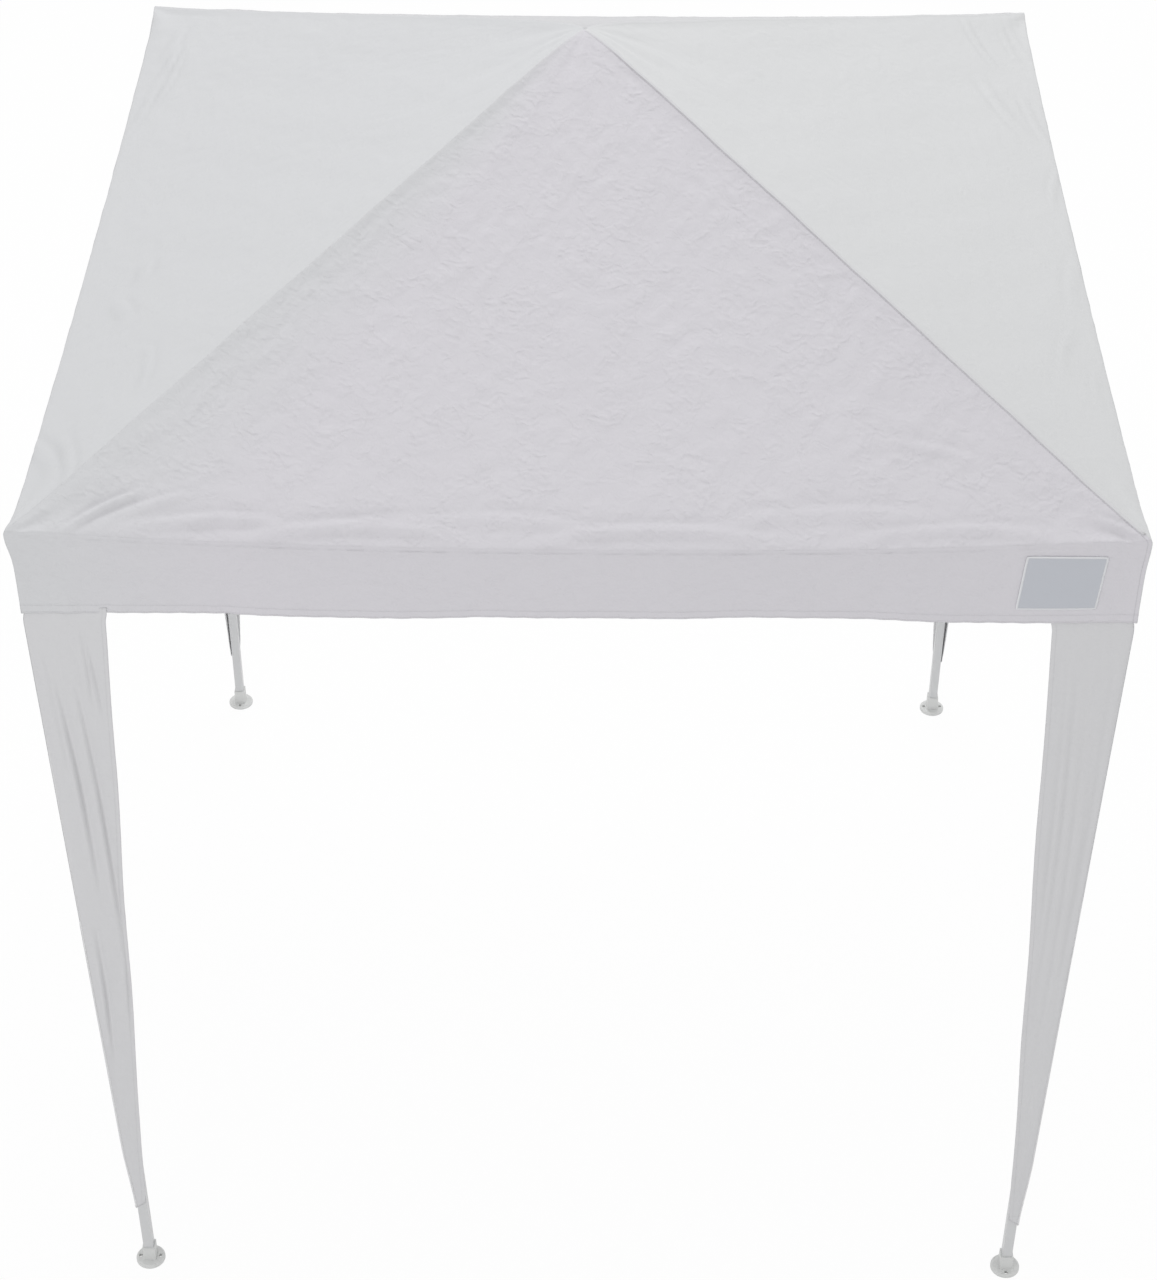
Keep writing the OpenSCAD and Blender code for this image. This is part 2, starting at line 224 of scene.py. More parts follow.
def lathe(name, profile, centre, axis="z", steps=48):
    """A solid of revolution: each (radius, height) of the profile swept round an axis through centre."""
    profile = np.asarray(profile, float)
    angle = np.linspace(0, 2 * np.pi, steps, endpoint=False)
    ring = np.stack([np.cos(angle), np.sin(angle)], axis=-1)
    points = np.concatenate(
        [profile[:, None, :1] * ring[None], np.repeat(profile[:, None, 1:], steps, axis=1)], axis=-1
    )
    if axis.endswith("x"):
        points = points[..., [2, 0, 1]]
    if axis.endswith("y"):
        points = points[..., [1, 2, 0]]
    if axis.startswith("-"):
        points = points * [-1, -1, 1]
    points = points.reshape(-1, 3) + np.asarray(centre)
    return mesh_piece(name, points, grid_faces(len(profile), steps, closed=True))


# ---------------------------------------------------------------- cloth shapes


def smooth_step(t):
    """0 below 0, 1 above 1, and smooth between."""
    t = np.clip(t, 0, 1)
    return t * t * (3 - 2 * t)


def crinkle(x, y, seed, longest=0.16, shortest=0.028, count=36):
    """Fine creases of unit size: a sum of sharpened sine waves in random directions, each weighted by
    its length, over coordinates that are bent a little so that no crease runs straight."""
    random = np.random.default_rng(seed)
    total = np.zeros(np.shape(x))
    bend_x = 0.018 * np.sin(19 * x + 11 * y + seed) + 0.011 * np.sin(31 * y - 7 * x)
    bend_y = 0.016 * np.sin(23 * y - 13 * x + 2 * seed) + 0.010 * np.sin(37 * x)
    for _ in range(count):
        length = shortest * (longest / shortest) ** random.random()
        angle, phase = random.uniform(0, np.pi), random.uniform(0, 2 * np.pi)
        along = (x + bend_x) * math.cos(angle) + (y + bend_y) * math.sin(angle)
        wave = np.sin(2 * np.pi * along / length + phase)
        total += (length / longest) ** 0.9 * (1 - 2 * np.abs(wave) ** 0.75)
    return total / math.sqrt(count)


def pull_folds(x, y, corner, seed, reach=0.26, folds=9):
    """Folds that fan out from a corner of the cloth and die away with distance from it."""
    dx, dy = x - corner[0], y - corner[1]
    distance = np.hypot(dx, dy)
    angle = np.arctan2(dy, dx)
    fade = smooth_step(distance / 0.05) * np.exp(-((distance / reach) ** 1.4))
    return fade * np.sin(folds * angle + 0.9 * np.sin(3 * angle + seed) + seed)


def fold_lines(x, y, folds, bow=0.05):
    """Long low ridges in cloth. Each runs between two points (x0, y0, x1, y1) with a height and a half
    width: a bell shape across, with a shallow trough on each side, bowed sideways, and tapering to
    nothing at both ends."""
    total = np.zeros(np.broadcast(x, y).shape)
    for x0, y0, x1, y1, height, half in folds:
        length = math.hypot(x1 - x0, y1 - y0)
        along = ((x - x0) * (x1 - x0) + (y - y0) * (y1 - y0)) / length**2
        beside = ((x - x0) * (y1 - y0) - (y - y0) * (x1 - x0)) / length
        inside = np.sin(np.pi * np.clip(along, 0, 1))
        beside = beside + bow * length * inside
        trough = 0.45 * np.exp(-(((np.abs(beside) - 2.0 * half) / half) ** 2))
        total = total + height * (np.exp(-((beside / half) ** 2)) - trough) * inside**0.8
    return total


def loose_folds(seed, count, wide):
    """Short folds scattered along an eave, most of them level and close above it, in panel coordinates:
    distance across from the middle, and distance up the roof from the eave."""
    random = np.random.default_rng(seed)
    folds = []
    for _ in range(count):
        x = random.uniform(-0.88, 0.88) * wide
        y = 0.02 + 0.22 * random.random() ** 1.6
        length, lean = random.uniform(0.08, 0.26), random.uniform(-0.18, 0.18) - 0.25 * x / wide
        ends = (x - length / 2, y + lean * length, x + length / 2, y - lean * length)
        folds.append((*ends, random.uniform(0.0008, 0.0026), random.uniform(0.006, 0.012)))
    return folds


# The front panel's folds above its eave, in the same coordinates: two ends, a height and a half width
FRONT_FOLDS = [
    (-0.905, 0.012, -0.765, 0.098, 0.0056, 0.0058),
    (-0.84, 0.030, -0.66, 0.100, 0.0022, 0.0065),
    (-0.80, 0.022, -0.50, 0.046, 0.0034, 0.0085),
    (-0.60, 0.018, -0.18, 0.030, 0.0036, 0.0095),
    (-0.44, 0.046, -0.20, 0.056, 0.0018, 0.0070),
    (-0.30, 0.052, 0.06, 0.040, 0.0020, 0.0100),
    (-0.10, 0.020, 0.36, 0.026, 0.0032, 0.0095),
    (0.22, 0.052, 0.66, 0.058, 0.0020, 0.0110),
    (0.48, 0.024, 0.86, 0.020, 0.0026, 0.0085),
    (0.52, 0.215, 0.72, 0.165, 0.0020, 0.0080),
    (0.90, 0.052, 0.985, 0.008, 0.0036, 0.0060),
]


def eave_drop(u, side):
    """How far the eave hangs below the line between its corners: a shallow arch, level at its middle."""
    return EAVE_SAG[side] * (1 - np.abs(u) ** 2.2)


def settle(points):
    """Small shifts of the whole cloth that depend on place alone, so that neighbouring panels still meet:
    slow waves a millimetre or two high, and each corner of the eaves puffed out over its bracket."""
    x, y, z = points[..., 0], points[..., 1], points[..., 2]
    wave = 0.0013 * np.sin(17 * x + 5 * y + 1) * np.sin(13 * y - 6 * x)
    wave = wave + 0.0008 * np.sin(41 * x + 2) * np.sin(37 * y)
    wave = wave * smooth_step((z - EAVE_Z) / 0.05)
    shift = np.zeros_like(points)
    shift[..., 2] += wave
    for sx, sy, size in CORNER_PUFFS:
        aside = ((x - sx * HALF) ** 2 + (y - sy * HALF) ** 2) / PUFF_REACH**2
        near = np.exp(-aside - ((z - EAVE_Z + 0.012) / 0.040) ** 2)
        shift[..., 0] += sx * size * near
        shift[..., 1] += sy * size * near
        shift[..., 2] += 0.6 * size * near
    return points + shift


def rounded(share):
    """Share of the roof's rise lost at a share of the way out: a straight slope whose peak is rounded off."""
    return (np.sqrt(share**2 + PEAK_ROUND**2) - PEAK_ROUND) / (math.sqrt(1 + PEAK_ROUND**2) - PEAK_ROUND)


def seam_line(rows):
    """Points along the front right hip, from the peak to just above the eave."""
    share = np.linspace(0, 0.988, rows)
    return np.stack([share * HALF, -share * HALF, PEAK_Z - RISE * rounded(share)], axis=-1)


def roof_profile(rows_roof, rows_bend, rows_valance):
    """Arrays down the middle of a panel: distance out from the peak, height, share of the eave's drop
    that applies, path length, and how far down the valance it is, from 0 to 1. A straight slope, an arc
    at the eave and a straight drop."""
    tangent = EAVE_RADIUS * math.tan((math.pi / 2 - SLOPE) / 2)
    slope_end = HALF - tangent * math.cos(SLOPE)
    out = slope_end * np.linspace(0, 1, rows_roof)
    share = out / HALF
    height = PEAK_Z - RISE * rounded(share)
    turn = np.linspace(SLOPE, math.pi / 2, rows_bend + 1)[1:]
    centre_out = HALF - EAVE_RADIUS
    centre_z = EAVE_Z - tangent
    bend_out = centre_out + EAVE_RADIUS * np.sin(turn)
    bend_z = centre_z + EAVE_RADIUS * np.cos(turn)
    miss = height[-1] - centre_z - EAVE_RADIUS * math.cos(SLOPE)
    bend_z += miss * (math.pi / 2 - turn) / (math.pi / 2 - SLOPE)
    fall = np.linspace(0, 1, rows_valance + 1)[1:]
    fall_z = bend_z[-1] + (HEM_Z - bend_z[-1]) * fall
    out = np.concatenate([out, bend_out, np.full(rows_valance, HALF)])
    height = np.concatenate([height, bend_z, fall_z])
    sag = np.concatenate([share**2, np.ones(rows_bend), 1 - fall])
    hang = np.concatenate([np.zeros(rows_roof + rows_bend), fall])
    path = np.concatenate([[0], np.cumsum(np.hypot(np.diff(out), np.diff(height)))])
    return out, height, sag, path, hang


def valance_wave(x, seed):
    """The slow in and out of a hanging valance along its length, 0 at both corners."""
    ends = smooth_step((HALF - np.abs(x)) / 0.25)
    wave = np.sin(5.1 * x + seed) + 0.6 * np.sin(11.3 * x + 2.1 * seed) + 0.25 * np.sin(27 * x - seed)
    return ends * wave / 1.85


def panel_points(u, profile, side, seed, crisp, folds):
    """Points of the front panel, and at each point its distance across, distance up from the hem, distance
    to the hip and a share of painted shade that darkens the colour in the fold troughs. Across, u runs
    from one hip to the other, and the width is twice the distance out from the peak; down, it follows the
    profile. Sag, creases, pull folds and the valance's waves are added along the surface's normal, and
    fade out at the hips so that the panels meet."""
    out, height, sag, path, hang = profile
    U, OUT = np.meshgrid(u, out)
    Z, SAG, PATH, HANG = (np.repeat(a[:, None], len(u), axis=1) for a in (height, sag, path, hang))
    X = U * OUT
    Y = -OUT
    Z = Z - SAG * eave_drop(U, side)
    roof = HANG == 0
    share = np.clip(OUT / HALF, 0, 1)
    Z -= np.where(roof, PANEL_SAG * (1 - U**2) * 4 * share * (1 - share), 0)
    to_hip = (1 - np.abs(U)) * OUT
    near_hip = smooth_step(to_hip / 0.03)
    slope_len = path[hang == 0][-1]
    bump = crisp * CREPE_HEIGHT * crinkle(X, PATH, seed)
    for s in (-1, 1):
        bump += CORNER_PULL * pull_folds(X, PATH, (s * HALF, slope_len), seed + s)
    bump += PEAK_PULL * pull_folds(X, PATH, (0, 0), seed + 3, reach=0.4, folds=13)
    lines = fold_lines(X, slope_len - PATH, folds)
    bump += lines
    # Painted shade: how much the cloth's colour darkens in the folds' troughs, kept as the crease value.
    trough = np.where(roof, np.clip(-lines / 0.0022, 0, 1), 0) * 0.6
    bump *= near_hip * smooth_step(share / 0.08)
    face = np.where(roof, np.pi / 2 - SLOPE, 0.0)
    wave = VALANCE_WAVE * valance_wave(X, seed) * smooth_step(HANG / 0.9)
    small = SMALL_CREASE * crinkle(X, PATH, seed + 7, longest=0.30, shortest=0.05, count=22)
    if side == "front":
        past = np.maximum(np.abs(X - PATCH_AT[0]) / PATCH_HALF_W, np.abs(Z - PATCH_AT[1]) / PATCH_HALF_H)
        small *= smooth_step((past - 1.06) / 0.4)
    roll = EAVE_ROLL * np.exp(-(((HANG - 0.03) / 0.045) ** 2)) * smooth_step((1 - np.abs(U)) / 0.06)
    band = HEM_STEP * smooth_step((HEM_BAND + 0.002 - (1 - HANG) * VALANCE_H) / 0.002)
    pucker = HEM_PUCKER * np.sin(2 * np.pi * X / 0.047 + 2 * np.sin(9 * X))
    small = small + pucker * smooth_step((HANG - 0.75) / 0.2)
    hanging = (wave + roll + small * smooth_step((1 - np.abs(U)) / 0.03) + band) * (HANG > 0)
    push = np.where(roof, bump, hanging)
    Y -= push * np.cos(face)
    Z += push * np.sin(face)
    hem = path[-1] - PATH
    return np.stack([X, Y, Z], axis=-1), X, hem, to_hip, trough


def cover_panel(quarter):
    """One quarter of the roof with its valance, as a single sheet that turns down over the eave."""
    side = SIDES[quarter]
    crowd = 0.86 * math.pi / 2
    u = np.sin(np.linspace(-crowd, crowd, 231)) / math.sin(crowd)
    profile = roof_profile(150, 8, 46)
    crisp = 1.1 if side == "front" else 0.6
    folds = FRONT_FOLDS if side == "front" else loose_folds(FOLD_SEED + quarter, 9, HALF)
    points, across, hem, to_hip, trough = panel_points(u, profile, side, PANEL_SEED + quarter, crisp, folds)
    uv = np.stack([across, hem], axis=-1).reshape(-1, 2)
    points = settle(turned(points, quarter)).reshape(-1, 3)
    values = {"hip": to_hip.ravel(), "crease": trough.ravel()}
    panel = mesh_piece(f"{side}_roof_panel", points, grid_faces(*hem.shape)[:, ::-1], uv, values=values)
    join_apex(panel)
    thicken(panel, CLOTH_T, backing=True)
    return panel


def fold_in(piece, side):
    """The piece closes with its side's cover body, on a mesh of its own."""
    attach(piece, f"{side}_cover")
    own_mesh(piece)


def hip_seam(quarter):
    """The felled seam along a panel's right hip, on the line where two panels meet. Across the hip it is a
    low arch on the ridge: the height falls on both sides at the roof's own slope there, plus half an
    ellipse, and its edges sink into the cloth. Only the front panel's own seam stands clear of the cloth,
    from a little below the peak."""
    side = SIDES[quarter]
    line = seam_line(160)
    out = line[:, 0]
    steep = -np.gradient(line[:, 2], out) / math.sqrt(2)
    angle = np.linspace(0, np.pi, 13)
    level = np.array([1, 1, 0]) / math.sqrt(2)
    ahead = np.gradient(line, axis=0)
    ahead /= np.linalg.norm(ahead, axis=1, keepdims=True)
    up = np.cross(level, ahead)
    up *= np.sign(up[:, 2:])
    half_w, proud, edge = PROUD_SEAM if side == "front" else FLAT_SEAM
    edge = SEAM_SUNK + (edge - SEAM_SUNK) * smooth_step((out / HALF - 0.045) / 0.03)
    beside = half_w * np.cos(angle)[None, :] * np.ones((len(line), 1))
    height = edge[:, None] + proud * np.sin(angle)[None, :] - steep[:, None] * np.abs(beside)
    points = line[:, None] + beside[..., None] * level + height[..., None] * up[:, None]
    shape = points.shape[:2]
    walked = np.r_[0, np.cumsum(np.linalg.norm(np.diff(line, axis=0), axis=1))]
    uv = np.stack([np.repeat(walked[:, None], shape[1], axis=1), beside], axis=-1).reshape(-1, 2)
    points = settle(turned(points, quarter)).reshape(-1, 3)
    seam = mesh_piece(f"{side}_hip_seam", points, grid_faces(*shape), uv)
    thicken(seam, 0.0006)
    return seam


def label_patch():
    """A bare sewn patch near the right end of the front valance: a rectangle with barely rounded corners, a
    slight lean and a raised border, on the valance's own waves."""
    centre_x, centre_z = PATCH_AT
    s, t = np.meshgrid(np.linspace(-1, 1, 61), np.linspace(-1, 1, 51))
    pull = 1 - 0.02 * (np.abs(s) ** 10 * np.abs(t) ** 10)
    z = centre_z + PATCH_HALF_H * t * pull
    x = centre_x + PATCH_HALF_W * s * pull + PATCH_LEAN * (z - centre_z)
    edge = 1 - np.maximum(np.abs(s), np.abs(t))
    lift = PATCH_LIFT + 0.0007 * smooth_step(edge / 0.04) - 0.0005 * smooth_step((edge - 0.06) / 0.04)
    hang = np.clip((EAVE_Z - z) / VALANCE_H, 0, 1)
    y = -HALF - lift - VALANCE_WAVE * valance_wave(x, PANEL_SEED) * smooth_step(hang / 0.9)
    points = settle(np.stack([x, y, z], axis=-1)).reshape(-1, 3)
    uv = np.stack([PATCH_HALF_W * s, PATCH_HALF_H * t], axis=-1).reshape(-1, 2)
    patch = mesh_piece("valance_patch", points, grid_faces(*s.shape), uv)
    thicken(patch, 0.0012)
    return patch


# Creases of the front left skirt's front face: two ends in skirt coordinates, a depth and a half width
CORNER_CREASES = [
    (0.035, 1.74, 0.050, 1.16, -0.0036, 0.0040),
    (0.072, 1.72, 0.077, 0.98, -0.0034, 0.0036),
    (0.098, 1.85, 0.098, 1.66, -0.0018, 0.0030),
    (0.104, 1.83, 0.114, 1.62, -0.0018, 0.0030),
    (0.027, 1.08, 0.015, 0.66, -0.0030, 0.0036),
    (0.078, 1.04, 0.064, 0.78, -0.0014, 0.0030),
    (0.022, 1.80, 0.031, 1.48, -0.0010, 0.0040),
]


def skirt_width(z):
    """Width of a skirt's face at a height, along a straight taper from the hem to the lower end."""
    return SKIRT_BOTTOM + (SKIRT_TOP - SKIRT_BOTTOM) * (z - SKIRT_END_Z) / (HEM_Z - SKIRT_END_Z)


def skirt_creases(number):
    """Long creases of one skirt, in skirt coordinates: metres across from its corner, and height. They run
    down from below the hem and draw together towards the leg. The front left skirt's front face has deep,
    narrow ones of its own, and the other faces have low ones at chance places."""
    random = np.random.default_rng(CREASE_SEED + number)
    creases = []
    for face in (-1, 1):
        if number == 0 and face == 1:
            creases += CORNER_CREASES
            continue
        for place in (0.16, 0.38, 0.58, 0.78, 0.92):
            top, low = random.uniform(1.55, 1.82), random.uniform(0.35, 1.0)
            place = place + random.uniform(-0.06, 0.06)
            at_top, at_low = face * place * skirt_width(top), face * (place + 0.06) * skirt_width(low)
            height, half = 0.36 * random.uniform(0.0022, 0.0048), random.uniform(0.0035, 0.007)
            creases.append((at_top, top, at_low, low, height, half))
    return creases


def leg_skirt(number):
    """A tapered cloth around a leg's outer corner: two faces that meet at a soft edge, drawn in towards the
    inner leg at the bottom, with long upright creases and a rounded lower end."""
    leg = LEGS[number]
    rows, columns = 200, 113
    down = np.linspace(0, 1, rows)[:, None]
    across = np.linspace(-1, 1, columns)[None, :]
    top_z = HEM_Z + SKIRT_OVERLAP
    Z = (top_z + (SKIRT_END_Z + SKIRT_LIFT[number] - top_z) * down) * np.ones_like(across)
    tip = smooth_step((down - 0.87) / 0.13)
    width = SKIRT_TOP + (SKIRT_BOTTOM - SKIRT_TOP) * down - TIP_NARROWS * tip
    corner = HALF - SKIRT_INSET + (LEG_AXIS + SKIRT_LOW_OUT - HALF + SKIRT_INSET) * down
    corner = corner + 0.0028 * smooth_step((down - 0.007) / 0.012) * (1 - down) - TIP_DRAWS_IN * tip
    reach = np.abs(across) * width
    Z = Z + TIP_RISE * smooth_step((down - 0.965) / 0.035) * np.abs(across) ** 1.4
    soft = 0.0022 * np.exp(-reach / 0.006)
    seed = SKIRT_SEED + number
    creases = fold_lines(across * width, Z, skirt_creases(number), bow=0.010)
    fine = crinkle(across * width * 1.6, Z * 0.35, seed, longest=0.12, shortest=0.03, count=20)
    wander = 0.0022 * np.sin(6 * Z + seed + 2 * np.sign(across)) + 0.0012 * np.sin(15 * Z - seed)
    slack = smooth_step(down / 0.08) * smooth_step((1 - down) / 0.10)
    inward = 0.006 * np.sin(np.pi * down) * smooth_step(reach / 0.12)
    push = (creases + 0.0008 * fine + wander) * slack * smooth_step(reach / 0.012) - inward
    front = across >= 0
    edge_wave = 0.0016 * np.sin(11 * Z + seed) * np.sin(np.pi * down)
    side_way = -corner + reach * (1 + edge_wave / width * (np.abs(across) > 0.9))
    X = np.where(front, side_way, -corner + soft - push)
    Y = np.where(front, -corner + soft - push, side_way)
    points = turned(np.stack([X, Y, Z], axis=-1), number).reshape(-1, 3)
    uv = np.stack([across * width, Z - SKIRT_END_Z], axis=-1).reshape(-1, 2)
    edge = (1 - np.abs(across)) * width * np.ones_like(Z)
    # The crease value is painted shade: it darkens the cloth's colour in the creases' troughs.
    values = {"hip": edge.ravel(), "crease": np.clip(-creases / 0.0034, 0, 1).ravel()}
    skirt = mesh_piece(f"{leg}_skirt", points, grid_faces(rows, columns)[:, ::-1], uv, values=values)
    thicken(skirt, CLOTH_T, backing=True)
    return skirt


def pull_pin(number):
    """The spring pin that locks a slider on its leg: a barrel turned from a stepped profile, pointing
    inwards, and a ring through its end."""
    leg = LEGS[number]
    low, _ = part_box(f"{leg}_slider")
    (leg_x0, leg_y0, _), (leg_x1, leg_y1, _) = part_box(f"{leg}_outer_leg")
    x, y, z = (leg_x0 + leg_x1) / 2, (leg_y0 + leg_y1) / 2, low[2] + PIN_RISE
    profile = [(0.0, -0.0004), (0.0056, -0.0004), (0.0056, 0.0022), (0.0046, 0.0030)]
    profile += [(0.0046, 0.0120), (0.0050, 0.0128), (0.0050, 0.0150), (0.0032, 0.0166)]
    profile += [(0.0032, 0.0210), (0.0044, 0.0218), (0.0044, 0.0236), (0.0, 0.0242)]
    axis = ("x", "y", "-x", "-y")[number]
    inward = np.array(((1, 0, 0), (0, 1, 0), (-1, 0, 0), (0, -1, 0))[number])
    barrel = lathe(f"{leg}_pull_pin", profile, np.array([x, y, z]) + inward * PIN_FACE, axis)
    join_apex(barrel)
    centre = np.array([x, y, z - RING_HANG]) + inward * (PIN_FACE + RING_OUT)
    steps, sides = 48, 12
    around = np.linspace(0, 2 * np.pi, steps, endpoint=False)[:, None, None]
    tube = np.linspace(0, 2 * np.pi, sides, endpoint=False)[None, :, None]
    radial = np.cos(around) * np.cross(inward, (0, 0, 1)) + np.sin(around) * np.array([0, 0, 1])
    points = centre + (RING_R + WIRE_R * np.cos(tube)) * radial + WIRE_R * np.sin(tube) * inward
    faces = grid_faces(steps + 1, sides, closed=True) % (steps * sides)
    ring = mesh_piece(f"{leg}_pull_ring", points.reshape(-1, 3), faces)
    return barrel, ring


# ---------------------------------------------------------------- materials


class Finish:
    """A material's node tree, with short ways to add and join nodes."""

    def __init__(self, name, colour, roughness, metallic=0.0, sheen=0.0, specular=0.5):
        self.material = bpy.data.materials.new(name)
        self.material.use_nodes = True
        self.tree = self.material.node_tree
        self.shader = self.tree.nodes["Principled BSDF"]
        self.shader.inputs["Metallic"].default_value = metallic
        self.shader.inputs["Roughness"].default_value = roughness
        self.shader.inputs["Sheen Weight"].default_value = sheen
        self.shader.inputs["Specular IOR Level"].default_value = specular
        self.colour = colour
        self.base = None
        self.height = None
        self.normal = None

    def node(self, kind, inputs=None, **settings):
        """A new node with its settings, and inputs that are either other nodes' outputs or plain values."""
        made = self.tree.nodes.new(kind)
        for key, value in settings.items():
            setattr(made, key, value)
        for key, value in (inputs or {}).items():
            if isinstance(value, bpy.types.NodeSocket):
                self.tree.links.new(value, made.inputs[key])
            else:
                made.inputs[key].default_value = value
        return made

    def math(self, operation, a, b=0.0):
        """The result of a sum or a comparison."""
        return self.node("ShaderNodeMath", {0: a, 1: b}, operation=operation).outputs[0]

    def place(self, kind="Object", scale=(1, 1, 1)):
        """Where on the piece a texture is, with a scale along each axis."""
        source = self.node("ShaderNodeTexCoord").outputs[kind]
        return self.node("ShaderNodeMapping", {"Vector": source, "Scale": scale}).outputs[0]

    def noise(self, where, scale, detail=3.0, rough=0.5, distortion=0.0):
        """Cloudy chance values from 0 to 1."""
        return self.node(
            "ShaderNodeTexNoise",
            {"Vector": where, "Scale": scale, "Detail": detail, "Roughness": rough, "Distortion": distortion},
        ).outputs[0]

    def bump(self, height, distance, strength=1.0):
        """Adds a fine relief over those that are already there."""
        inputs = {"Height": height, "Distance": distance, "Strength": strength}
        if self.normal is not None:
            inputs["Normal"] = self.normal
        self.normal = self.node("ShaderNodeBump", inputs).outputs[0]

    def tint(self, share, colour):
        """Mixes a colour in by a share that may vary over the surface."""
        before = self.base if self.base is not None else (*self.colour, 1)
        inputs = {0: share, 6: before, 7: (*colour, 1)}
        self.base = self.node("ShaderNodeMix", inputs, data_type="RGBA").outputs[2]

    def shade(self, share, factor):
        """Tints with the piece's own colour, darker or lighter by a factor."""
        self.tint(share, tuple(min(1, c * factor) for c in self.colour))

    def waves(self, where, scale, direction, distortion, **detail):
        """Bands of a wave texture, as a height from 0 to 1."""
        inputs = {"Vector": where, "Scale": scale, "Distortion": distortion}
        inputs.update({key.replace("_", " ").title(): value for key, value in detail.items()})
        return self.node("ShaderNodeTexWave", inputs, bands_direction=direction).outputs[1]

    def times(self, *values):
        """The product of two or more values."""
        product = values[0]
        for value in values[1:]:
            product = self.math("MULTIPLY", product, value)
        return product

    def less(self, a, b):
        """a less b."""
        return self.math("SUBTRACT", a, b)

    def done(self, rough=None):
        """Joins colour, relief and roughness to the shader and gives the material."""
        if self.base is not None:
            self.tree.links.new(self.base, self.shader.inputs["Base Color"])
        else:
            self.shader.inputs["Base Color"].default_value = (*self.colour, 1)
        if self.normal is not None:
            self.tree.links.new(self.normal, self.shader.inputs["Normal"])
        if rough is not None:
            self.tree.links.new(rough, self.shader.inputs["Roughness"])
        return self.material


def linear(red, green, blue):
    """A colour given as it shows, turned into the linear values that shaders take."""
    return tuple(((c / 255 + 0.055) / 1.055) ** 2.4 for c in (red, green, blue))


def stitches(finish, across, along, at, pitch=0.0042, thread=0.0006):
    """1 on a row of stitches that runs along one coordinate at a set value of the other."""
    on_line = finish.math("LESS_THAN", finish.math("ABSOLUTE", finish.less(across, at)), thread)
    step = finish.math("FRACT", finish.math("DIVIDE", along, pitch))
    return finish.times(on_line, finish.math("LESS_THAN", step, 0.72))


def crepe_patches(finish, uv, up, valance_calm):
    """How strong the crepe wrinkles are over the cloth: patches of full strength among nearly smooth
    ones, and calmer on the valance."""
    curl = finish.noise(uv, 9, 2, 0.5, 2.0)
    patches = finish.math("MAXIMUM", finish.times(finish.less(curl, 0.44), 6.0), 0.12)
    patches = finish.math("MINIMUM", patches, 1.0)
    if valance_calm < 1:
        on_valance = finish.math("LESS_THAN", up, VALANCE_H)
        patches = finish.times(patches, finish.less(1.0, finish.times(on_valance, 1.0 - valance_calm)))
    return patches


def painted_left_hip_fade(finish, across, hip):
    """1 at a panel's left hip, falling to 0 over a width that grows down the roof from the peak: the mask of
    a painted change of light across that hip.
    """
    aside = finish.math("ABSOLUTE", across)
    wide = finish.math("ADD", finish.times(finish.math("ADD", hip, aside), 0.34), 0.02)
    fade = finish.less(1.0, finish.math("MINIMUM", finish.math("DIVIDE", hip, wide), 1.0))
    start = finish.math("MINIMUM", finish.math("DIVIDE", aside, 0.16), 1.0)
    return finish.times(finish.math("LESS_THAN", across, 0.0), fade, start)


